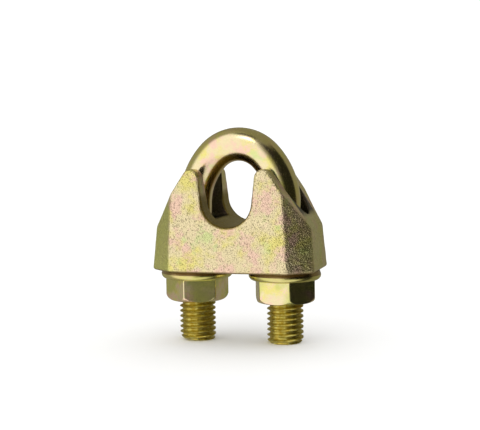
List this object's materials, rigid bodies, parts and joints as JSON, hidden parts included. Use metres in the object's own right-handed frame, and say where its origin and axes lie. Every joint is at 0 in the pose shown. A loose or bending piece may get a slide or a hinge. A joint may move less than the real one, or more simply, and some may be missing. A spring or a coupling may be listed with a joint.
{
  "type": "wire rope clip",
  "caption": "U-bolt wire rope clip with a cast saddle and collar nuts, for clamping the dead end of a wire rope back onto its live part.",
  "frame": {"origin": "on the rope's axis in the saddle's rope seat, halfway along the seat", "axes": "+Y along the rope, +Z from the saddle towards the bow, +X across from leg to leg"},
  "size_m": [0.0632, 0.0364, 0.0815],
  "materials": {
    "saddle_plating": "malleable casting, yellow-passivated zinc plating, rough satin",
    "bolt_plating": "drawn bar, yellow-passivated zinc plating, smooth and glossy",
    "nut_plating": "cold-formed steel, yellow-passivated zinc plating, smooth and glossy"
  },
  "bodies": {
    "u_bolt": {"u_bolt": "bolt_plating"},
    "saddle": {"saddle": "saddle_plating"},
    "left_nut": {"left_nut": "nut_plating"},
    "right_nut": {"right_nut": "nut_plating"}
  },
  "joints": [
    {"name": "saddle_slide", "type": "slide", "parent": "u_bolt", "child": "saddle", "axis": [0, 0, 1], "range_m": [-0.014, 0.006]},
    {"name": "left_nut_spin", "type": "hinge", "parent": "saddle", "child": "left_nut", "pos_m": [-0.0175, 0, -0.03175], "axis": [0, 0, 1], "range_deg": [-2520, 1080]},
    {"name": "right_nut_spin", "type": "hinge", "parent": "saddle", "child": "right_nut", "pos_m": [0.0175, 0, -0.03175], "axis": [0, 0, 1], "range_deg": [-2520, 1080]}
  ],
  "couplings": [
    {"joint": "left_nut_spin", "follows": "saddle_slide", "rad_per_m": 3141.6},
    {"joint": "right_nut_spin", "follows": "saddle_slide", "rad_per_m": 3141.6}
  ]
}
